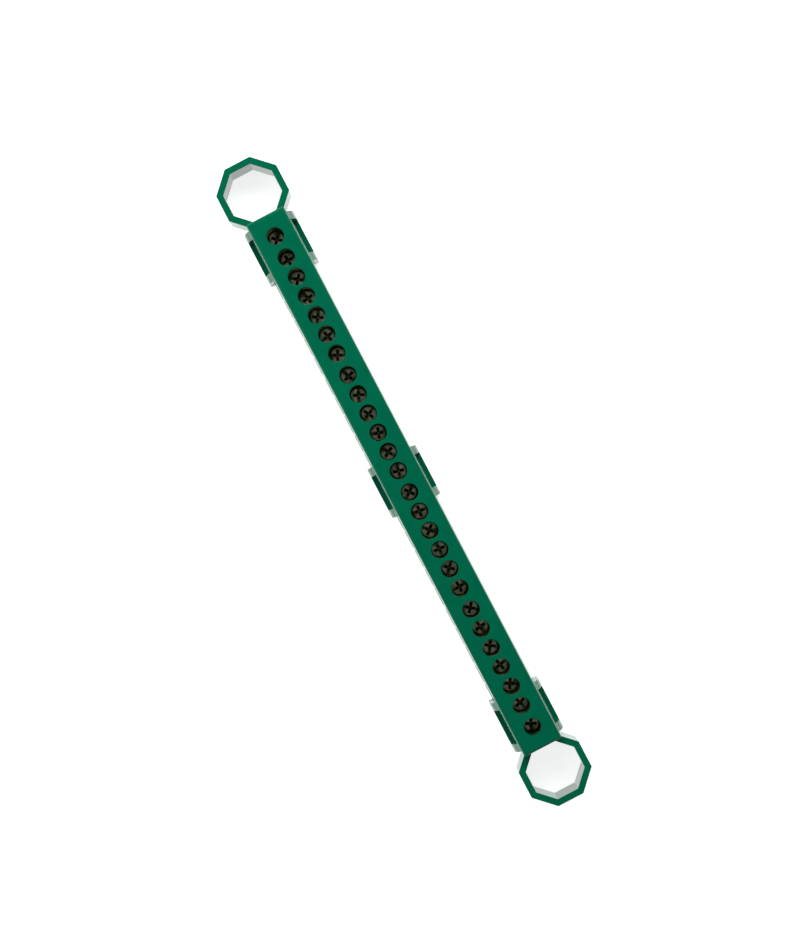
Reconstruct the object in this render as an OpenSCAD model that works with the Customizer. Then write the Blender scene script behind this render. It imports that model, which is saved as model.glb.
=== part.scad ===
// Earth terminal bar
//
// A one-piece moulded housing sits over a brass busbar. A wire goes in through an
// entry in the -Y wall, into its cross hole in the busbar, and a headless screw
// clamps it from above. Each screw is turned through the round well over it.
// The octagonal ring at each end drops over a post, and three pairs of side lugs
// take the snap arms of an enclosure.
//
// The row of screws runs along X. The base is at z = 0 and the wells open to +Z.

/* [Terminals] */
// Distance between neighbouring screws in one group
pitch = 6.5; // [6.3:0.1:8]
// Distance between the last screw of a group and the first of the next
group_gap = 7.2; // [7:0.1:10]
// Number of screws in a full group
group_count = 6; // [4:1:8]
// Full groups, with one more screw beyond them at each end of the row
groups = 4; // [2:2:6]

/* [Housing] */
// Height of the housing
body_h = 17; // [15:0.5:22]
// Width across the top, measured to the corners before they are rounded
top_w = 12.6; // [12:0.1:15]
// Width at the base, which is wider so that the walls have draft
base_w = 14; // [13:0.1:16]
// From the axis of the last screw to the end of the body
end_margin = 7; // [6.5:0.1:10]
// Radius of the top edges
edge_r = 1; // [0.3:0.1:1.5]
// Radius of the upright corners
corner_r = 0.6; // [0.3:0.1:1]
// Wall outside the pockets that lighten the closed side
wall = 1.3; // [1:0.1:1.5]
// Roof over those pockets
roof = 2.5; // [1.5:0.1:3.5]
// Diameter of the wells over the screws
well_d = 5.25; // [5.15:0.05:5.5]

/* [End rings] */
// Width across the outer flats of the octagon
ring_af = 20.5; // [18:0.5:26]
// Thickness of the ring's wall
ring_wall = 2; // [1.2:0.1:2.5]
// Height of the ring
ring_h = 12.3; // [6:0.1:14]

/* [Side lugs] */
// Length of a lug along the row
lug_len = 16.7; // [16:0.1:18]
// From the row's axis to the outer edge of a lug
lug_reach = 8.35; // [8:0.05:10]
// From the end of the body to the middle of the last lug
lug_inset = 9.8; // [9.5:0.1:12]
// Thickness of the ledge between the gussets
ledge_t = 2; // [1.2:0.1:2]
// Thickness of each gusset
gusset_t = 2.65; // [2.4:0.05:3]
// Height at which a gusset meets the body's wall
gusset_h = 13; // [10:0.5:14]
// Height up to which a gusset's outer edge stands upright
gusset_shoulder = 6.5; // [4:0.5:8]

/* [Wire entries] */
// Width of an entry
entry_w = 5.2; // [4.8:0.1:5.4]
// Height of the sill below an entry
entry_sill = 2.2; // [2:0.1:2.3]
// Height of an entry's top
entry_top = 7.8; // [7.4:0.1:9]
// Radius of an entry's upper corners
entry_r = 1.5; // [0.5:0.1:2.2]
// Depth and width of the bevel that leads a wire in
lead_in = 0.4; // [0.2:0.05:0.5]

/* [Busbar] */
// Width of the busbar
bar_w = 7; // [6.6:0.1:7.4]
// Height of the busbar
bar_h = 9; // [8.5:0.1:10]
// Height of the busbar's underside above the base
bar_lift = 1; // [0.9:0.1:1.5]
// From the axis of the last screw to the end of the busbar
bar_margin = 4.5; // [3.5:0.1:5]
// Gap between the busbar and the housing
bar_gap = 0.1; // [0.05:0.05:0.2]
// Diameter of the cross holes that the wires go into
wire_d = 4.6; // [4:0.1:4.8]
// Height of a cross hole's axis above the busbar's underside
wire_lift = 3.8; // [3.5:0.1:4.5]
// Metal left below a tapped hole
thread_floor = 1.3; // [1:0.1:1.6]
// Bevel at the mouth of a tapped hole
thread_bevel = 0.3; // [0.1:0.05:0.4]
// How far the snap noses reach in under the busbar
nose_reach = 0.45; // [0.2:0.05:0.6]
// Length of a snap nose along the row
nose_len = 1.8; // [1:0.1:2]

/* [Clamping screws] */
// Outer diameter of the screws
screw_d = 5; // [4.8:0.05:5]
// Length of the screws
screw_len = 6; // [5:0.5:7]
// Running clearance all round a screw in its tapped hole
thread_gap = 0.05; // [0.02:0.01:0.1]
// Gap under the tip of a screw that is driven home
tip_gap = 0.1; // [0.05:0.05:0.3]
// Bevel of the screw's upper edge
face_bevel = 0.25; // [0.1:0.05:0.5]
// Bevel of the screw's tip
tip_bevel = 0.6; // [0.2:0.1:1]
// Width of the cross recess and of the slot through it
recess_w = 0.95; // [0.6:0.05:1.2]
// Span of the cross recess over two opposite wings
recess_span = 3.5; // [2.5:0.1:4]
// Depth of the cross recess
recess_depth = 1.9; // [1:0.1:2.5]
// Depth of the slot
slot_depth = 0.8; // [0.4:0.1:1.5]
// Turn from each screw to the next, so that no two stand alike
turn_step = 137.5; // [0:0.5:180]

/* [Hidden] */
$fn = 64;
// How far a cutting shape runs past the surface that it cuts
past = 1;

// Row of terminals, numbered from 0 at the -X end
single_terminals = 2;
terminals = groups * group_count + single_terminals;
last_terminal = terminals - 1;
row_len = last_terminal * pitch + (groups + 1) * (group_gap - pitch);
row_end = row_len / 2;
function group_of(i) = i == 0 ? 0 : floor((i - 1) / group_count) + 1;
function terminal_x(i) = i * pitch + group_of(i) * (group_gap - pitch) - row_end;
// Group number g runs from terminal first_of(g) to terminal last_of(g)
function first_of(g) = g == 0 ? 0 : (g - 1) * group_count + 1;
function last_of(g) = g > groups ? last_terminal : g * group_count;
// Where group g ends and the next begins
function border_x(g) = terminal_x(last_of(g)) + group_gap / 2;

// Body
body_end = row_end + end_margin;
draft = atan((base_w - top_w) / 2 / body_h);
function half_width(z) = base_w / 2 - z * tan(draft);
// Centre of the rounding of a top edge, tangent to the wall and to the top
round_y = base_w / 2 - edge_r / cos(draft) - (body_h - edge_r) * tan(draft);
round_z = body_h - edge_r;

// Busbar and its place in the housing
bar_top = bar_lift + bar_h;
bar_end = row_end + bar_margin;
cavity_y = bar_w / 2 + bar_gap;
cavity_top = bar_top + bar_gap;
wire_z = bar_lift + wire_lift;
thread_d = screw_d + 2 * thread_gap;
thread_z = bar_lift + thread_floor;

// Pockets in the closed side, as wide as the row of entries opposite
pocket_y = top_w / 2 - wall;
pocket_top = body_h - roof;

// End rings, whose near flat is the end wall of the body
ring_in = ring_af / 2 - ring_wall;
ring_x = body_end + ring_in;

// Side lugs. A gusset's bend is tangent to its upright edge and meets the wall at gusset_h
lug_x = body_end - lug_inset;
bend_y = lug_reach - half_width(gusset_h);
bend_z = gusset_h - gusset_shoulder;
gusset_r = (bend_y ^ 2 + bend_z ^ 2) / (2 * bend_y);

// Screws, driven home
screw_z = thread_z + tip_gap;

function screw_name(i) = str("clamp_screw_", i < 10 ? "0" : "", i);

// Extrudes an outline drawn in Y and Z along X, centred
module along_x(length) {
    translate([-length / 2, 0, 0])
        rotate([90, 0, 90])
            linear_extrude(length) children();
}

// Extrudes an outline drawn in X and Z towards -Y, from the given y
module towards_wires(from_y, length) {
    translate([0, from_y, 0])
        rotate([90, 0, 0])
            linear_extrude(length) children();
}

// End view of the body: drafted walls and rounded top edges
module body_section() {
    side_y = round_y + edge_r * cos(draft);
    side_z = round_z + edge_r * sin(draft);
    polygon([
        [-base_w / 2, 0], [base_w / 2, 0], [side_y, side_z], [round_y, body_h],
        [-round_y, body_h], [-side_y, side_z]
    ]);
    for (side = [-1, 1])
        translate([side * round_y, round_z]) circle(edge_r);
}

// Side view of the body: upright ends and rounded top edges
module body_side() {
    inner = body_end - edge_r;
    translate([-body_end, 0]) square([2 * body_end, round_z]);
    translate([-inner, 0]) square([2 * inner, body_h]);
    for (end = [-1, 1])
        translate([end * inner, round_z]) circle(edge_r);
}

// What is cut away to round one upright corner, which leans with the draft
module corner_cutter() {
    leaning_h = body_h / cos(draft) + 2 * past;
    translate([body_end, base_w / 2, 0])
        rotate([draft, 0, 0])
            translate([-corner_r, -corner_r, -past])
                difference() {
                    cube([corner_r + past, corner_r + past, leaning_h]);
                    translate([0, 0, -past]) cylinder(h = leaning_h + 2 * past, r = corner_r);
                }
}

module body_block() {
    difference() {
        intersection() {
            along_x(2 * body_end) body_section();
            towards_wires(base_w, 2 * base_w) body_side();
        }
        for (end = [0, 1], side = [0, 1])
            mirror([end, 0, 0]) mirror([0, side, 0]) corner_cutter();
    }
}

module octagon(af) {
    rotate(180 / 8) circle(d = af / cos(180 / 8), $fn = 8);
}

module end_ring() {
    translate([ring_x, 0, 0])
        linear_extrude(ring_h)
            difference() {
                octagon(ring_af);
                octagon(2 * ring_in);
            }
}

// End view of a gusset: upright up to its shoulder, then bent in to meet the body
module gusset_section() {
    translate([-lug_reach, 0]) square([2 * lug_reach, gusset_shoulder]);
    intersection() {
        translate([lug_reach - gusset_r, gusset_shoulder]) circle(gusset_r);
        translate([gusset_r - lug_reach, gusset_shoulder]) circle(gusset_r);
        translate([-lug_reach, gusset_shoulder])
            square([2 * lug_reach, gusset_h - gusset_shoulder]);
    }
}

// One pair of lugs, on both sides of the body
module lug_pair() {
    translate([-lug_len / 2, -lug_reach, 0]) cube([lug_len, 2 * lug_reach, ledge_t]);
    for (end = [-1, 1])
        translate([end * (lug_len - gusset_t) / 2, 0, 0])
            along_x(gusset_t) gusset_section();
}

// Entry for one wire: a straight channel with a bevelled mouth in the body's wall
module wire_entry() {
    half = entry_w / 2;
    mouth_y = half_width(wire_z);
    towards_wires(0, lug_reach + past) {
        translate([-half, entry_sill]) square([entry_w, entry_top - entry_r - entry_sill]);
        translate([-half + entry_r, entry_sill])
            square([entry_w - 2 * entry_r, entry_top - entry_sill]);
        for (side = [-1, 1])
            translate([side * (half - entry_r), entry_top - entry_r]) circle(entry_r);
    }
    intersection() {
        linear_extrude(body_h)
            polygon([
                [-half, -mouth_y + lead_in], [half, -mouth_y + lead_in],
                [half + lead_in, -mouth_y], [-half - lead_in, -mouth_y]
            ]);
        along_x(2 * entry_w)
            polygon([
                [-mouth_y + lead_in, entry_sill], [-mouth_y, entry_sill],
                [-mouth_y, entry_top + lead_in], [-mouth_y + lead_in, entry_top]
            ]);
    }
}

// Open pocket from below, alongside group g, that keeps the closed side's wall thin
module side_pocket(g) {
    from_x = terminal_x(first_of(g)) - entry_w / 2;
    to_x = terminal_x(last_of(g)) + entry_w / 2;
    translate([from_x, 0, -past]) cube([to_x - from_x, pocket_y, pocket_top + past]);
}

// Pair of snap noses that hold the busbar from below
module snap_noses() {
    nose_y = cavity_y - nose_reach;
    for (side = [0, 1])
        mirror([0, side, 0])
            along_x(nose_len)
                polygon([
                    [cavity_y + bar_gap, 0], [cavity_y, 0], [nose_y, bar_lift - bar_gap - nose_reach / 2],
                    [nose_y, bar_lift - bar_gap / 2], [cavity_y + bar_gap, bar_lift - bar_gap / 2]
                ]);
}

module housing() {
    color([0.02, 0.41, 0.29]) {
        difference() {
            union() {
                body_block();
                for (end = [0, 1])
                    mirror([end, 0, 0]) end_ring();
                for (x = [-lug_x, 0, lug_x])
                    translate([x, 0, 0]) lug_pair();
            }
            translate([-bar_end - bar_gap, -cavity_y, -past])
                cube([2 * (bar_end + bar_gap), 2 * cavity_y, cavity_top + past]);
            for (g = [0:groups + 1])
                side_pocket(g);
            for (i = [0:last_terminal])
                translate([terminal_x(i), 0, 0]) {
                    wire_entry();
                    translate([0, 0, bar_top]) cylinder(h = body_h, d = well_d);
                }
        }
        for (g = [0:groups])
            translate([border_x(g), 0, 0]) snap_noses();
    }
}

module busbar() {
    color([0.83, 0.68, 0.35])
        difference() {
            translate([-bar_end, -bar_w / 2, bar_lift]) cube([2 * bar_end, bar_w, bar_h]);
            for (i = [0:last_terminal])
                translate([terminal_x(i), 0, 0]) {
                    translate([0, 0, thread_z]) cylinder(h = bar_h, d = thread_d);
                    translate([0, 0, bar_top - thread_bevel])
                        cylinder(
                            h = 2 * thread_bevel,
                            d1 = thread_d,
                            d2 = thread_d + 4 * thread_bevel
                        );
                    translate([0, bar_w, wire_z])
                        rotate([90, 0, 0]) cylinder(h = 2 * bar_w, d = wire_d);
                }
        }
}

// One pair of opposite wings of the cross recess, cut down from the screw's face
module recess_wings() {
    half = recess_span / 2;
    translate([0, recess_w / 2, screw_len])
        rotate([90, 0, 0])
            linear_extrude(recess_w)
                polygon([
                    [-half, past], [-half, 0], [-recess_w / 2, -recess_depth],
                    [recess_w / 2, -recess_depth], [half, 0], [half, past]
                ]);
}

// Headless clamping screw number i, counted from 1 at the -X end
module clamp_screw(i) {
    r = screw_d / 2;
    color([0.33, 0.3, 0.25])
        translate([terminal_x(i - 1), 0, screw_z])
            rotate(i * turn_step)
                difference() {
                    rotate_extrude()
                        polygon([
                            [0, 0], [r - tip_bevel, 0], [r, tip_bevel],
                            [r, screw_len - face_bevel], [r - face_bevel, screw_len],
                            [0, screw_len]
                        ]);
                    recess_wings();
                    rotate(90) recess_wings();
                    translate([-screw_d, -recess_w / 2, screw_len - slot_depth])
                        cube([2 * screw_d, recess_w, slot_depth + past]);
                }
}

housing();
busbar();
for (i = [1:terminals])
    clamp_screw(i);
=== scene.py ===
# %% [markdown]
# # An earth terminal bar
#
# An earth terminal bar gathers the green-and-yellow wires of a distribution board. A green
# moulded housing sits over a brass bar. Each wire goes into a hole in the side, and a screw
# without a head clamps it from above. This notebook dresses the finished CAD model: it keeps
# every size and place, and adds the camera, the light, the finishes and the finest shapes.

# %% Load the frame
import math

import bpy
from mathutils import Matrix, Vector


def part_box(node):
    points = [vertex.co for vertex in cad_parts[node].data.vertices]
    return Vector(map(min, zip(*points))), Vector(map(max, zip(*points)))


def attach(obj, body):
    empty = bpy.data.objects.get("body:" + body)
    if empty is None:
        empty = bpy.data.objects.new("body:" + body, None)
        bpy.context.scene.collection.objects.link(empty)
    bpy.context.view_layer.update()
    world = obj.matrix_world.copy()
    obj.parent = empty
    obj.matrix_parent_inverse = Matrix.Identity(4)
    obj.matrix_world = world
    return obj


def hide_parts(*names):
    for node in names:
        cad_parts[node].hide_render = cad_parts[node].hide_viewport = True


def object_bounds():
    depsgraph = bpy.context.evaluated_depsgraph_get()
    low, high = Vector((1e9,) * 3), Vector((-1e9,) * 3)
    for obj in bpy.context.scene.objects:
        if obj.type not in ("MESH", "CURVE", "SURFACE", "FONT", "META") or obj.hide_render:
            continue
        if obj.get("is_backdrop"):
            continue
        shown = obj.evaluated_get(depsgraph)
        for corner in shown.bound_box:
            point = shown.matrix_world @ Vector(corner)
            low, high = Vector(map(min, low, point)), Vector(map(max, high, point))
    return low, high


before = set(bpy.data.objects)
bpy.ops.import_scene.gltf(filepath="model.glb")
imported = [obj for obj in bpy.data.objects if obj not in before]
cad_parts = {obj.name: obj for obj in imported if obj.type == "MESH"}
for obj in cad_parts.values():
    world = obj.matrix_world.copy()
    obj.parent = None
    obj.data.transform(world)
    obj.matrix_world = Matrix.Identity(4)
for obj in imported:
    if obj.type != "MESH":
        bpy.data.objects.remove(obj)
cad_low, cad_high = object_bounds()
print("CAD box in mm:", [round(1000 * v, 2) for v in (*cad_low, *cad_high)])

# %% [markdown]
# ## Working in millimetres
#
# Blender's unit here is the metre, but a part of this size is thought of in millimetres.
# One factor, written behind every size, keeps the numbers readable.

# %% Millimetres
MM = 0.001
top_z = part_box("housing")[1].z
print("top face at", round(top_z / MM, 2), "mm")

# %% [markdown]
# ## The camera
#
# The bar is shown as in a catalogue: straight from above and lying askew across an upright
# picture. A camera's own axes are X to the right and Y upwards, and it looks along -Z, so a
# camera without any rotation already looks straight down. Only a turn about Z is needed, and
# it sets how the bar lies in the picture. An orthographic camera would hide every upright
# wall. A long lens from over half a metre keeps the perspective gentle and still shows a
# little of each.

# %% Camera
CAMERA_TURN = math.radians(62.31)
CAMERA_ABOVE_TOP = 590 * MM
CAMERA_OFF_CENTRE = Vector((-2.27, -0.155, 0)) * MM
LENS_MM = 74.68
SENSOR_WIDTH_MM = 36
NEAREST_SEEN = 10 * MM
FURTHEST_SEEN = 20000 * MM

bpy.ops.object.camera_add(
    location=CAMERA_OFF_CENTRE + Vector((0, 0, top_z + CAMERA_ABOVE_TOP)),
    rotation=(0, 0, CAMERA_TURN),
)
camera = bpy.context.object
camera.name = "camera"
camera.data.sensor_width = SENSOR_WIDTH_MM
camera.data.lens = LENS_MM
camera.data.clip_start = NEAREST_SEEN
camera.data.clip_end = FURTHEST_SEEN
bpy.context.scene.camera = camera
bpy.context.scene.view_settings.view_transform = "Standard"
print("camera at", [round(v / MM, 1) for v in camera.location], "mm")

# %% [markdown]
# ## Small helpers for colours and nodes
#
# Colours are written as the hex values that a colour picker shows. Blender mixes light in
# linear values, so one function turns them. A second function adds one shader node with its
# settings, and links any input that is given as another node's output. That keeps a material
# as short as the list of its nodes. Textures count in metres here, so a third function turns
# the real size of a pattern into its scale.


# %% Colour and node helpers
def linear(hex_colour):
    """The linear RGBA that Blender's sockets take, from a hex value such as #04684A."""
    channels = [int(hex_colour[i : i + 2], 16) / 255 for i in (1, 3, 5)]
    return (*[c / 12.92 if c <= 0.04045 else ((c + 0.055) / 1.055) ** 2.4 for c in channels], 1)


def add_node(tree, kind, inputs=None, **settings):
    """A new node. Each input is a plain value, or an output socket to link from."""
    node = tree.nodes.new("ShaderNode" + kind)
    for name, value in settings.items():
        setattr(node, name, value)
    for name, value in (inputs or {}).items():
        if isinstance(value, bpy.types.NodeSocket):
            tree.links.new(value, node.inputs[name])
        else:
            node.inputs[name].default_value = value
    return node


def per_metre(size_in_mm):
    """A texture's Scale for features of this size, because textures count in metres here."""
    return 1000 / size_in_mm


def new_tree(name):
    """A new material and its node tree, holding nothing but the output node."""
    material = bpy.data.materials.new(name)
    material.use_nodes = True
    material.node_tree.nodes.clear()
    output = add_node(material.node_tree, "OutputMaterial")
    return material, material.node_tree, output


print("a mid grey in linear values:", [round(v, 3) for v in linear("#808080")])

# %% [markdown]
# ## A white table
#
# The table is a wide sheet of matt white paper. It would render as a light grey, because the
# lamps are kept at a plain level that suits the part's own colours. So the paper also glows,
# but only for rays that come from the camera, from a shiny surface or through a clear one:
# it looks white in the picture and in reflections, and it adds no light to the part. Stronger
# lamps would whiten the paper too, but they would bleach the green. For the camera the glow
# is weaker, so that the part's soft shadow still shows on the paper.

# %% Table
TABLE_SIZE = 6000 * MM
TABLE_DROP = 0.02 * MM
PAPER_GREY = "#E8E8E8"
GLOW_IN_PICTURE = 0.8
GLOW_IN_REFLECTIONS = 1.0

bpy.ops.mesh.primitive_plane_add(size=TABLE_SIZE, location=(0, 0, cad_low.z - TABLE_DROP))
table = bpy.context.object
table.name = "table"
paper, tree, output = new_tree("matt_white_paper")
seen = add_node(tree, "LightPath")
reflected = add_node(
    tree,
    "Math",
    {0: seen.outputs["Is Glossy Ray"], 1: seen.outputs["Is Transmission Ray"]},
    operation="MAXIMUM",
)
reflected_glow = add_node(
    tree, "Math", {0: reflected.outputs[0], 1: GLOW_IN_REFLECTIONS}, operation="MULTIPLY"
)
glow_level = add_node(
    tree,
    "Math",
    {0: seen.outputs["Is Camera Ray"], 1: GLOW_IN_PICTURE, 2: reflected_glow.outputs[0]},
    operation="MULTIPLY_ADD",
)
matt = add_node(tree, "BsdfDiffuse", {"Color": linear(PAPER_GREY)})
glow = add_node(tree, "Emission", {"Color": (1, 1, 1, 1), "Strength": glow_level.outputs[0]})
both = add_node(tree, "AddShader", {0: matt.outputs[0], 1: glow.outputs[0]})
tree.links.new(both.outputs[0], output.inputs["Surface"])
table.data.materials.append(paper)
table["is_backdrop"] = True
print("table", round(TABLE_SIZE / MM), "mm wide at z =", round(table.location.z / MM, 3), "mm")

# %% [markdown]
# ## The room around it
#
# The room is white at eye level and darker overhead, as in a studio with a dark ceiling.
# This matters more than it seems. A glossy face that is looked at squarely mirrors what is
# behind the camera, and a dark ceiling there keeps its green deep and pure. A face that is
# looked at along its surface mirrors the bright table and turns pale. The side of the room
# past the bar's left end is bright and the one past its right end is dark, so the rounded
# edges on the left catch a highlight. The camera itself sees plain white everywhere. An image
# of a room wrapped round the scene would do all this too, but these few nodes need no file.

# %% Room
BRIGHT_SIDE = Vector((-0.91, 0.41, 0))
ROOM_SOFT_LIGHT = 0.26
CEILING_MIDDLE = 0.22
CEILING_EDGE = 1.0
WALLS_END = 0.15  # heights on a ball of radius 1 round the part
CEILING_FROM = 0.9
BRIGHT_SHARE = 1.5
DARK_SHARE = 0.4

world = bpy.data.worlds.new("white_room")
bpy.context.scene.world = world
world.use_nodes = True
tree = world.node_tree
tree.nodes.clear()
output = add_node(tree, "OutputWorld")
direction = add_node(tree, "TexCoord")
parts = add_node(tree, "SeparateXYZ", {0: direction.outputs["Generated"]})
height = add_node(
    tree,
    "MapRange",
    {
        "Value": parts.outputs["Z"],
        "From Min": WALLS_END,
        "From Max": CEILING_FROM,
        "To Min": CEILING_EDGE,
        "To Max": CEILING_MIDDLE,
    },
)
towards_bright = add_node(
    tree, "VectorMath", {0: direction.outputs["Generated"], 1: BRIGHT_SIDE}, operation="DOT_PRODUCT"
)
side = add_node(
    tree,
    "MapRange",
    {
        "Value": towards_bright.outputs["Value"],
        "From Min": -1.0,
        "To Min": DARK_SHARE,
        "To Max": BRIGHT_SHARE,
    },
)
seen = add_node(tree, "LightPath")
for_gloss = add_node(
    tree,
    "Mix",
    {"Factor": seen.outputs["Is Glossy Ray"], "A": ROOM_SOFT_LIGHT, "B": height.outputs["Result"]},
    data_type="FLOAT",
)
sided = add_node(
    tree, "Math", {0: for_gloss.outputs["Result"], 1: side.outputs["Result"]}, operation="MULTIPLY"
)
for_camera = add_node(
    tree,
    "Mix",
    {"Factor": seen.outputs["Is Camera Ray"], "A": sided.outputs[0], "B": 1.0},
    data_type="FLOAT",
)
background = add_node(
    tree, "Background", {"Color": (1, 1, 1, 1), "Strength": for_camera.outputs["Result"]}
)
tree.links.new(background.outputs[0], output.inputs["Surface"])
print("room light", ROOM_SOFT_LIGHT, "and ceiling", CEILING_MIDDLE, "to", CEILING_EDGE)

# %% [markdown]
# ## Two soft lamps
#
# The main lamp stands past the bar's left end, near enough that the light falls off along the
# bar. The fill lamp stands beside the bar, and lights the side that the main lamp misses.
# Both are wide, so their shadows are soft. Their strength is chosen so that, with the room's
# own light, a colour on the middle of the top face renders about as it is written.

# %% Lamps
def soft_lamp(name, place, wide, high, watts):
    """Adds a rectangular lamp at a place, facing the bar, that the camera doesn't see."""
    facing = (-place).to_track_quat("-Z", "Y")
    bpy.ops.object.light_add(type="AREA", location=place, rotation=facing.to_euler())
    lamp = bpy.context.object
    lamp.name = name
    lamp.data.shape = "RECTANGLE"
    lamp.data.size = wide
    lamp.data.size_y = high
    lamp.data.energy = watts
    lamp.visible_camera = False


MAIN_LAMP_PLACE = (BRIGHT_SIDE * 420 + Vector((0, 0, 450))) * MM
FILL_LAMP_PLACE = Vector((-300, -800, 600)) * MM

soft_lamp("main_lamp", MAIN_LAMP_PLACE, wide=700 * MM, high=350 * MM, watts=3.0)
soft_lamp("fill_lamp", FILL_LAMP_PLACE, wide=600 * MM, high=600 * MM, watts=3.5)

# %% [markdown]
# ## Finish 1: moulded green polyamide
#
# The housing is injection-moulded polyamide, coloured through. A mould's walls are
# spark-eroded, which leaves a grain of a tenth of a millimetre or so, and the plastic's own
# skin over it is glossy. The grain is far too fine to model, so it is bump: one noise for the
# grain and a broader, fainter one for the slight waviness that shrinkage leaves. The same
# broad noise moves the colour by a few per cent. Seen squarely, the gloss takes some of the
# pigment's green, and seen along the surface it stays white, as Specular Tint does it.


# %% Green polyamide
GREEN_DEEP = "#006144"
GREEN_PALE = "#056F50"
GREEN_GLOSS = "#0C8A5E"
GRAIN_MM = 0.12
GRAIN_HEIGHT = 0.01 * MM
WAVE_MM = 7.0
WAVE_HEIGHT = 0.15 * MM
POLYAMIDE_IOR = 1.53
SKIN_SMOOTH = 0.14
SKIN_ROUGH = 0.22


def green_polyamide():
    """Glossy moulded plastic with a fine grain, slight waves and a faintly uneven green."""
    material, tree, output = new_tree("moulded_green_polyamide")
    place = add_node(tree, "TexCoord").outputs["Object"]
    wave = add_node(
        tree, "TexNoise", {"Vector": place, "Scale": per_metre(WAVE_MM), "Detail": 3.0}
    )
    grain = add_node(
        tree, "TexNoise", {"Vector": place, "Scale": per_metre(GRAIN_MM), "Detail": 2.0}
    )
    colour = add_node(
        tree,
        "Mix",
        {"Factor": wave.outputs["Fac"], "A": linear(GREEN_DEEP), "B": linear(GREEN_PALE)},
        data_type="RGBA",
    )
    wavy = add_node(
        tree, "Bump", {"Height": wave.outputs["Fac"], "Strength": 0.10, "Distance": WAVE_HEIGHT}
    )
    rough = add_node(
        tree,
        "Bump",
        {
            "Height": grain.outputs["Fac"],
            "Strength": 0.25,
            "Distance": GRAIN_HEIGHT,
            "Normal": wavy.outputs[0],
        },
    )
    polish = add_node(
        tree,
        "MapRange",
        {"Value": grain.outputs["Fac"], "To Min": SKIN_SMOOTH, "To Max": SKIN_ROUGH},
    )
    shader = add_node(
        tree,
        "BsdfPrincipled",
        {
            "Base Color": colour.outputs["Result"],
            "Roughness": polish.outputs["Result"],
            "IOR": POLYAMIDE_IOR,
            "Specular Tint": linear(GREEN_GLOSS),
            "Normal": rough.outputs[0],
        },
    )
    tree.links.new(shader.outputs[0], output.inputs["Surface"])
    return material


polyamide = green_polyamide()
print(polyamide.name, "with a grain of", GRAIN_MM, "mm")

# %% [markdown]
# ## Finish 2: drawn brass
#
# The busbar is cut from drawn brass bar. Drawing leaves fine scratches along the bar, so the
# noise that makes them is stretched: it is squeezed across the bar and runs long along X. A
# wave texture would draw lines too, but too evenly for scratches. They move the roughness and
# the bump together, and a broad noise dulls the brass in patches, as handling does.

# %% Drawn brass
BRASS_BRIGHT = "#B49B5A"
BRASS_DULL = "#8C7848"
BRASS_SMOOTH = 0.22
BRASS_ROUGH = 0.42
SCRATCH_WIDTH_MM = 0.08
SCRATCH_LENGTH_MM = 12.0
SCRATCH_HEIGHT = 0.01 * MM
DULL_PATCH_MM = 9.0


def drawn_brass():
    """Brass with fine scratches along X and broad dull patches."""
    material, tree, output = new_tree("drawn_brass")
    place = add_node(tree, "TexCoord").outputs["Object"]
    squeeze = (1 / SCRATCH_LENGTH_MM, 1 / SCRATCH_WIDTH_MM, 1 / SCRATCH_WIDTH_MM)
    drawn = add_node(tree, "Mapping", {"Vector": place, "Scale": squeeze})
    scratches = add_node(
        tree, "TexNoise", {"Vector": drawn.outputs[0], "Scale": per_metre(1.0), "Detail": 3.0}
    )
    dullness = add_node(
        tree, "TexNoise", {"Vector": place, "Scale": per_metre(DULL_PATCH_MM), "Detail": 4.0}
    )
    colour = add_node(
        tree,
        "Mix",
        {"Factor": dullness.outputs["Fac"], "A": linear(BRASS_BRIGHT), "B": linear(BRASS_DULL)},
        data_type="RGBA",
    )
    polish = add_node(
        tree,
        "MapRange",
        {"Value": scratches.outputs["Fac"], "To Min": BRASS_SMOOTH, "To Max": BRASS_ROUGH},
    )
    lines = add_node(
        tree,
        "Bump",
        {"Height": scratches.outputs["Fac"], "Strength": 0.2, "Distance": SCRATCH_HEIGHT},
    )
    shader = add_node(
        tree,
        "BsdfPrincipled",
        {
            "Base Color": colour.outputs["Result"],
            "Metallic": 1.0,
            "Roughness": polish.outputs["Result"],
            "Normal": lines.outputs[0],
        },
    )
    tree.links.new(shader.outputs[0], output.inputs["Surface"])
    return material


brass = drawn_brass()
print(brass.name, "with scratches", SCRATCH_WIDTH_MM, "mm wide")

# %% [markdown]
# ## Finish 3: passivated steel
#
# The screws are zinc-plated steel, dipped in a passivation bath that leaves an olive film of
# uneven thickness. Up close it is blotchy, from pale olive grey to a darker green grey. Two
# noises mix three colours, and the blotches also change how polished the steel looks. The
# values of a noise crowd around 0.5, so only a narrow band of them is used, stretched to the
# full contrast. In the recess the same finish is darker and duller, as painted shade for the
# recess's depth, so one function makes both.

# %% Passivated steel
BLOTCH_MM = 1.1
SPECK_MM = 0.25
SPECK_HEIGHT = 0.02 * MM
BLOTCH_BAND = (0.35, 0.65)
SPECK_BAND = (0.5, 0.75)
SPECK_SHARE = 0.6


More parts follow.
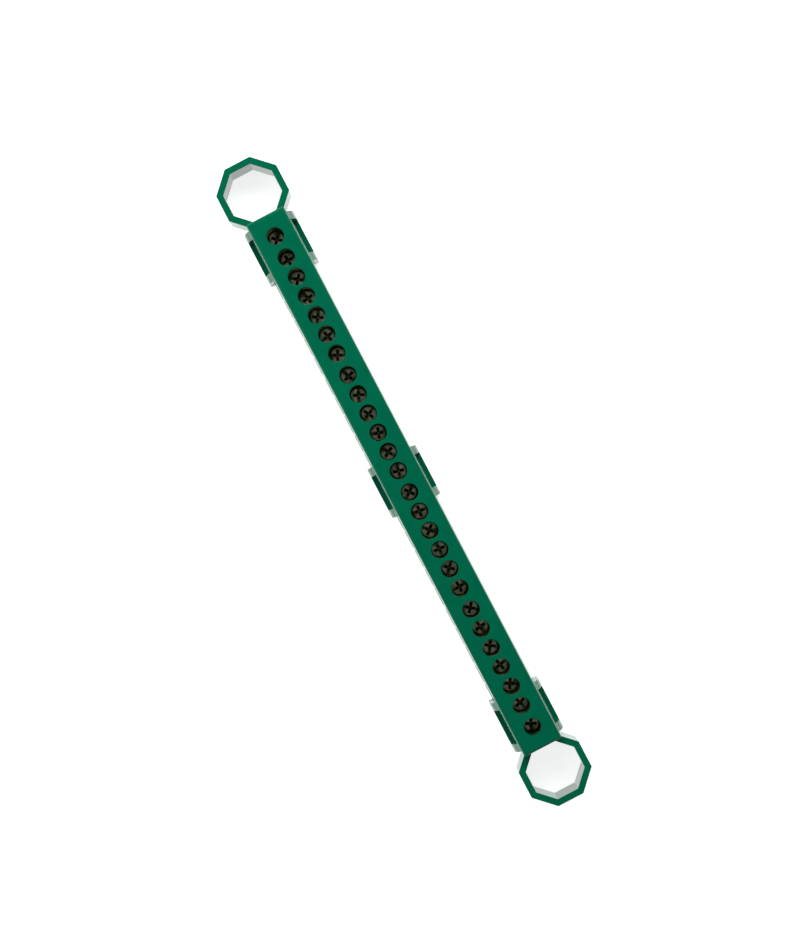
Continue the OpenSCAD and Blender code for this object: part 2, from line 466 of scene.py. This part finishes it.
def passivated_steel(name, pale, deep, speck, smooth, dull):
    """Steel whose film runs from a pale to a deep colour and from smooth to dull, with specks."""
    material, tree, output = new_tree(name)
    place = add_node(tree, "TexCoord").outputs["Object"]
    blotches = add_node(
        tree, "TexNoise", {"Vector": place, "Scale": per_metre(BLOTCH_MM), "Detail": 4.0}
    )
    specks = add_node(
        tree, "TexNoise", {"Vector": place, "Scale": per_metre(SPECK_MM), "Detail": 2.0}
    )
    depth = add_node(
        tree,
        "MapRange",
        {
            "Value": blotches.outputs["Fac"],
            "From Min": BLOTCH_BAND[0],
            "From Max": BLOTCH_BAND[1],
        },
    )
    film = add_node(
        tree,
        "Mix",
        {"Factor": depth.outputs["Result"], "A": linear(pale), "B": linear(deep)},
        data_type="RGBA",
    )
    speckled = add_node(
        tree,
        "MapRange",
        {
            "Value": specks.outputs["Fac"],
            "From Min": SPECK_BAND[0],
            "From Max": SPECK_BAND[1],
            "To Max": SPECK_SHARE,
        },
    )
    colour = add_node(
        tree,
        "Mix",
        {"Factor": speckled.outputs["Result"], "A": film.outputs["Result"], "B": linear(speck)},
        data_type="RGBA",
    )
    polish = add_node(
        tree, "MapRange", {"Value": blotches.outputs["Fac"], "To Min": smooth, "To Max": dull}
    )
    skin = add_node(
        tree, "Bump", {"Height": specks.outputs["Fac"], "Strength": 0.25, "Distance": SPECK_HEIGHT}
    )
    shader = add_node(
        tree,
        "BsdfPrincipled",
        {
            "Base Color": colour.outputs["Result"],
            "Metallic": 1.0,
            "Roughness": polish.outputs["Result"],
            "Normal": skin.outputs[0],
        },
    )
    tree.links.new(shader.outputs[0], output.inputs["Surface"])
    return material


steel = passivated_steel(
    "passivated_steel", pale="#C9CFB4", deep="#7F8868", speck="#E4E0BC", smooth=0.25, dull=0.45
)
# The recess's darker, duller colours are painted shade for its depth.
recess_painted_shade_steel = passivated_steel(
    "passivated_steel_recess", pale="#7A7A60", deep="#54563E", speck="#8E8868", smooth=0.4, dull=0.6
)
print(steel.name, "with blotches of", BLOTCH_MM, "mm")

# %% [markdown]
# ## Helpers for modelling
#
# An operator in edit mode acts on everything that is selected, so each step here starts from
# a clean selection. A finished piece keeps its place in its mesh and its object at the origin.


# %% Selection helpers
def select_only(piece):
    """Leaves this piece as the one that is selected and active."""
    bpy.ops.object.select_all(action="DESELECT")
    piece.select_set(True)
    bpy.context.view_layer.objects.active = piece


def apply_modifier(piece, kind, name, **settings):
    """Adds a modifier with its settings and applies it at once."""
    select_only(piece)
    modifier = piece.modifiers.new(name, kind)
    for key, value in settings.items():
        setattr(modifier, key, value)
    bpy.ops.object.modifier_apply(modifier=modifier.name)


def finish_with(piece, material):
    """Gives the piece this material alone."""
    piece.data.materials.clear()
    piece.data.materials.append(material)


def open_edges(piece):
    """How many edges don't join exactly two faces, which is 0 on a closed piece."""
    count = {}
    for face in piece.data.polygons:
        for key in face.edge_keys:
            count[key] = count.get(key, 0) + 1
    return sum(1 for faces in count.values() if faces != 2)


print("helpers:", [f.__name__ for f in (select_only, apply_modifier, finish_with, open_edges)])

# %% [markdown]
# ## From CAD triangles to a clean mesh
#
# A CAD node comes as loose triangles: each has its own points, and a flat face is cut into
# many. A bevel needs to see which faces meet at an edge, so the points are merged, and the
# triangles of a flat face are dissolved into large faces. Those that come out with a notch are
# cut into convex ones again, because a notched face can be filled wrongly.

# %% Merged copy
MERGE_WITHIN = 0.001 * MM
FLAT_WITHIN = math.radians(0.5)


def merged_copy(node_name, piece_name):
    """A copy of a CAD node with its points merged and its flat faces as large convex ones."""
    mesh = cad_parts[node_name].data.copy()
    mesh.name = piece_name
    piece = bpy.data.objects.new(piece_name, mesh)
    bpy.context.scene.collection.objects.link(piece)
    select_only(piece)
    bpy.ops.object.mode_set(mode="EDIT")
    bpy.ops.mesh.select_all(action="SELECT")
    bpy.ops.mesh.remove_doubles(threshold=MERGE_WITHIN)
    bpy.ops.mesh.dissolve_limited(angle_limit=FLAT_WITHIN)
    bpy.ops.mesh.vert_connect_concave()
    bpy.ops.object.mode_set(mode="OBJECT")
    return piece


housing = merged_copy("housing", "housing_moulding")
print("merged housing:", len(housing.data.polygons), "faces,", open_edges(housing), "open edges")

# %% [markdown]
# ## Rounding the housing's edges
#
# No edge of a moulding is truly sharp: the mould's own corners and the shrinking plastic
# round each of them by a tenth of a millimetre or two. That thin rounding is what catches
# the light and makes a render look like a solid thing. The CAD model has the large radii,
# and a bevel on the merged copy adds the small ones. A shader can fake such a bevel, but the
# fake is lost when the part is exported. The bevel is limited by angle, so it leaves the
# facets of curved walls alone. Where several edges meet within a fraction of a millimetre it
# throws a few points far out, and each of those goes back onto the CAD surface.


# %% Edge rounding
EDGE_ROUNDING = 0.12 * MM
SHARP = math.radians(35)


def hold_to(piece, original, reach):
    """Puts each point that lies further than a reach from the original's surface back onto it."""
    moved = 0
    for point in piece.data.vertices:
        place = original.closest_point_on_mesh(point.co)[1]
        if (place - point.co).length > reach:
            point.co = place
            moved += 1
    return moved


apply_modifier(
    housing,
    "BEVEL",
    "edge_rounding",
    width=EDGE_ROUNDING,
    segments=2,
    limit_method="ANGLE",
    angle_limit=SHARP,
    use_clamp_overlap=False,
    loop_slide=False,
)
held = hold_to(housing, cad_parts["housing"], EDGE_ROUNDING / 2)
print("rounded housing:", len(housing.data.polygons), "faces,", open_edges(housing), "open edges")
print("points put back:", held)

# %% [markdown]
# ## Shading the rounded edges
#
# Smooth shading bends the light across every face, and on a wide plane beside a narrow
# rounding that shows as dark streaks. It has to know which face leads: a wide plane keeps its
# own normal to its very edge, and only the narrow faces bend from one plane's normal to the
# next. So each corner's normal is a mean of those faces around it that turn less than BLEND
# away, in which a face counts by the whole area of the plane that it lies in, squared.
# Blender's own weighting doesn't tell faces as small as these apart, so this is done here.


# %% Shading
SAME_PLANE = 0.02 * MM
BLEND = math.radians(50)


def lead_over(piece):
    """Smooth shading in which wide planes stay flat and the narrow faces lead over to them."""
    mesh = piece.data
    planes = [
        (*(round(c, 2) for c in face.normal), round(face.normal.dot(face.center) / SAME_PLANE))
        for face in mesh.polygons
    ]
    area = {}
    for face, plane in zip(mesh.polygons, planes):
        area[plane] = area.get(plane, 0) + face.area / MM**2
    pull = [face.normal * area[plane] ** 2 for face, plane in zip(mesh.polygons, planes)]
    around = [[] for _ in mesh.vertices]
    for face in mesh.polygons:
        face.use_smooth = True
        for point in face.vertices:
            around[point].append(face.index)
    bend = math.cos(BLEND)
    normals = []
    for face in mesh.polygons:
        for point in face.vertices:
            near = [f for f in around[point] if mesh.polygons[f].normal.dot(face.normal) > bend]
            normals.append(sum((pull[f] for f in near), Vector((0, 0, 0))).normalized())
    mesh.normals_split_custom_set(normals)


lead_over(housing)
finish_with(housing, polyamide)
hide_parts("housing")
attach(housing, "bar")
print("housing:", housing.name, "in", polyamide.name)

# %% [markdown]
# ## The busbar
#
# The busbar is a plain bar with two rows of drilled holes. Its shape is complete in the CAD
# model, so its node stays and only takes the brass. It shows in the wire entries and from
# below.

# %% Busbar
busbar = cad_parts["busbar"]
finish_with(busbar, brass)
print("busbar:", len(busbar.data.polygons), "faces")

# %% [markdown]
# ## One threaded screw
#
# The clamping screws are M5, with a pitch of 0.8 mm. Stacked rings would pass for a thread
# from far off, but a real one climbs. It is one profile swept along a helix, which the Screw
# modifier does. The profile is one pitch of the thread: a root, a flank up, a crest and a
# flank down. It starts as a ring of five points with one side removed, and each point is
# moved to its place. The sweep is longer than the screw, and a bisect at each end cuts it to
# length and closes it.

# %% Thread
SCREW_RADIUS = 2.5 * MM
THREAD_PITCH = 0.8 * MM
THREAD_DEPTH = 0.46 * MM
CREST = THREAD_PITCH / 8
ROOT = THREAD_PITCH / 4
TURN_STEPS = 48
SPARE_TURNS = 3
SNAP = 0.0001 * MM

screw_low, screw_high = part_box("clamp_screw_01")
SCREW_LENGTH = screw_high.z - screw_low.z


def pick_edges(piece, wanted):
    """Goes into edit mode with only the edges selected whose two ends are as wanted."""
    select_only(piece)
    bpy.ops.object.mode_set(mode="EDIT")
    bpy.ops.mesh.select_mode(type="EDGE")
    bpy.ops.mesh.select_all(action="DESELECT")
    bpy.ops.object.mode_set(mode="OBJECT")
    points = piece.data.vertices
    for edge in piece.data.edges:
        edge.select = wanted([points[v].co for v in edge.vertices])
    bpy.ops.object.mode_set(mode="EDIT")


def thread_profile():
    """An open line of five points through one pitch of the thread, beside the Z axis."""
    bpy.ops.mesh.primitive_circle_add(vertices=5, fill_type="NOTHING")
    line = bpy.context.object
    mesh = line.data
    flank = (THREAD_PITCH - CREST - ROOT) / 2
    heights = [0, ROOT, ROOT + flank, ROOT + flank + CREST, THREAD_PITCH]
    outer = [0, 0, 1, 1, 0]
    for point, height, out in zip(mesh.vertices, heights, outer):
        point.co = (SCREW_RADIUS - THREAD_DEPTH * (1 - out), 0, height)
    pick_edges(line, lambda ends: {round(end.z, 6) for end in ends} == {0, THREAD_PITCH})
    bpy.ops.mesh.delete(type="EDGE")
    bpy.ops.object.mode_set(mode="OBJECT")
    return line


def cut_square(piece, z, **side):
    """Cuts away one side of a level plane, clear_inner below or clear_outer above it."""
    select_only(piece)
    bpy.ops.object.mode_set(mode="EDIT")
    bpy.ops.mesh.select_all(action="SELECT")
    bpy.ops.mesh.bisect(
        plane_co=(0, 0, z), plane_no=(0, 0, 1), use_fill=True, threshold=SNAP, **side
    )
    bpy.ops.object.mode_set(mode="OBJECT")


turns = math.ceil(SCREW_LENGTH / THREAD_PITCH) + SPARE_TURNS
screw = thread_profile()
screw.name = "screw_pattern"
apply_modifier(
    screw,
    "SCREW",
    "thread",
    screw_offset=THREAD_PITCH,
    iterations=turns,
    steps=TURN_STEPS,
    render_steps=TURN_STEPS,
    use_merge_vertices=True,
    merge_threshold=SNAP,
)
select_only(screw)
bpy.ops.object.mode_set(mode="EDIT")
bpy.ops.mesh.select_all(action="SELECT")
bpy.ops.mesh.remove_doubles(threshold=SNAP)
bpy.ops.object.mode_set(mode="OBJECT")
first_cut = (1.5 + 0.5 / TURN_STEPS) * THREAD_PITCH  # half a step on, past every corner
cut_square(screw, first_cut, clear_inner=True)
cut_square(screw, first_cut + SCREW_LENGTH, clear_outer=True)
screw.data.transform(Matrix.Translation((0, 0, -first_cut)))
bpy.ops.object.mode_set(mode="EDIT")
bpy.ops.mesh.select_all(action="SELECT")
bpy.ops.mesh.normals_make_consistent(inside=False)
bpy.ops.object.mode_set(mode="OBJECT")
print("thread:", turns, "turns,", len(screw.data.polygons), "faces,", open_edges(screw), "open edges")

# %% [markdown]
# ## Bevelled ends
#
# A real screw is bevelled at both ends before its thread is cut. Bevelling the finished
# thread would mean picking out its ragged rims. So a plain cylinder with bevelled rims stands
# for that blank, and what the thread and the blank have in common is the bevelled screw.

# %% Screw blank
FACE_BEVEL = 0.25 * MM
TIP_BEVEL = 0.6 * MM
BLANK_SIDES = 64


def blank():
    """A cylinder of the screw's size with both rims bevelled, the tip's more than the face's."""
    bpy.ops.mesh.primitive_cylinder_add(
        vertices=BLANK_SIDES,
        radius=SCREW_RADIUS,
        depth=SCREW_LENGTH,
        location=(0, 0, SCREW_LENGTH / 2),
    )
    piece = bpy.context.object
    bpy.ops.object.transform_apply(location=True, rotation=True, scale=True)
    for height, width in ((SCREW_LENGTH, FACE_BEVEL), (0, TIP_BEVEL)):
        pick_edges(piece, lambda ends: all(abs(end.z - height) < SNAP for end in ends))
        bpy.ops.mesh.bevel(offset=width, segments=1, affect="EDGES")
        bpy.ops.object.mode_set(mode="OBJECT")
    return piece


def combine(piece, tool, operation, material):
    """Applies a boolean with a tool, whose faces bring their own material, and takes it away."""
    finish_with(tool, material)
    apply_modifier(
        piece,
        "BOOLEAN",
        operation.lower(),
        object=tool,
        operation=operation,
        solver="EXACT",
        material_mode="TRANSFER",
    )
    bpy.data.objects.remove(tool)


finish_with(screw, steel)
combine(screw, blank(), "INTERSECT", steel)
print("bevelled screw:", len(screw.data.polygons), "faces,", open_edges(screw), "open edges")

# %% [markdown]
# ## The recess
# The screw's face has a cross for a screwdriver's four wings and a slot right across it, so
# that a flat blade fits as well. Both are stamped, and a boolean does the same: it takes the
# shape of the driver's tip away from the screw. The cut faces bring the tool's own material,
# so the recess gets its darker steel, painted shade for its depth, in the same step. Each tool
# reaches past the face, and the slot is a hair wider than the wings, because a boolean fails
# where two faces coincide.

# %% Recess
RECESS_WIDTH = 0.95 * MM
RECESS_SPAN = 3.5 * MM
RECESS_DEPTH = 1.9 * MM
TIP_WIDTH_SHARE = 0.8
PAST_FACE_SHARE = 0.05
SLOT_DEPTH = 0.8 * MM
SLOT_REACH = 1.0 * MM
SLOT_WIDTH_SHARE = 1.02
CREASE = math.radians(30)


def wings(angle):
    """Two opposite wings of the driver's tip, which grow narrow towards their end."""
    bpy.ops.mesh.primitive_cube_add(size=1, location=(0, 0, SCREW_LENGTH - RECESS_DEPTH / 2))
    tool = bpy.context.object
    tool.scale = (RECESS_SPAN, RECESS_WIDTH, RECESS_DEPTH)
    bpy.ops.object.transform_apply(location=True, rotation=True, scale=True)
    for corner in tool.data.vertices:
        if corner.co.z < SCREW_LENGTH - RECESS_DEPTH / 2:
            corner.co.x *= RECESS_WIDTH / RECESS_SPAN
            corner.co.y *= TIP_WIDTH_SHARE
        else:
            corner.co.x *= 1 + PAST_FACE_SHARE
            corner.co.z += PAST_FACE_SHARE * RECESS_DEPTH
    tool.data.transform(Matrix.Rotation(angle, 4, "Z"))
    return tool


def slot():
    """A flat blade that runs right across the screw's face."""
    depth = SLOT_DEPTH + SLOT_REACH
    bpy.ops.mesh.primitive_cube_add(size=1, location=(0, 0, SCREW_LENGTH - SLOT_DEPTH + depth / 2))
    tool = bpy.context.object
    tool.scale = (3 * SCREW_RADIUS, RECESS_WIDTH * SLOT_WIDTH_SHARE, depth)
    bpy.ops.object.transform_apply(location=True, rotation=True, scale=True)
    return tool


# The cut faces take the darker steel, which paints the recess's shade.
combine(screw, wings(0.0), "DIFFERENCE", recess_painted_shade_steel)
combine(screw, wings(math.pi / 2), "DIFFERENCE", recess_painted_shade_steel)
combine(screw, slot(), "DIFFERENCE", recess_painted_shade_steel)
select_only(screw)
bpy.ops.object.shade_smooth_by_angle(angle=CREASE)
print("finished screw:", len(screw.data.polygons), "faces,", open_edges(screw), "open edges")
print("its finishes:", [used.name for used in screw.data.materials])

# %% [markdown]
# ## Twenty-six screws
#
# The pattern is copied to the place of each CAD screw. No two screws in a real bar stop at
# the same angle, so each copy is turned a little further than the last, by a step that never
# repeats. Each copy has its own mesh and rides on its own body, so that it can travel.

# %% All screws
TURN_STEP = math.radians(137.5)

screw_names = sorted(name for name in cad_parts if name.startswith("clamp_screw_"))
for number, name in enumerate(screw_names, start=1):
    low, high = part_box(name)
    centre = (low + high) / 2
    piece = screw.copy()
    piece.data = screw.data.copy()
    piece.name = name.replace("clamp_", "threaded_")
    bpy.context.scene.collection.objects.link(piece)
    turned = Matrix.Rotation(number * TURN_STEP, 4, "Z")
    piece.data.transform(Matrix.Translation((centre.x, centre.y, low.z)) @ turned)
    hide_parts(name)
    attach(piece, name.replace("clamp_", ""))
bpy.data.objects.remove(screw)
print("screws:", len(screw_names))

# %% [markdown]
# ## Sizes
#
# The dressed part must stay inside the CAD model's box. Both boxes are printed, so that
# they can be compared after each render.

# %% Finish
low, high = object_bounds()
print("visual box in mm:", [round(v / MM, 2) for v in (*low, *high)])
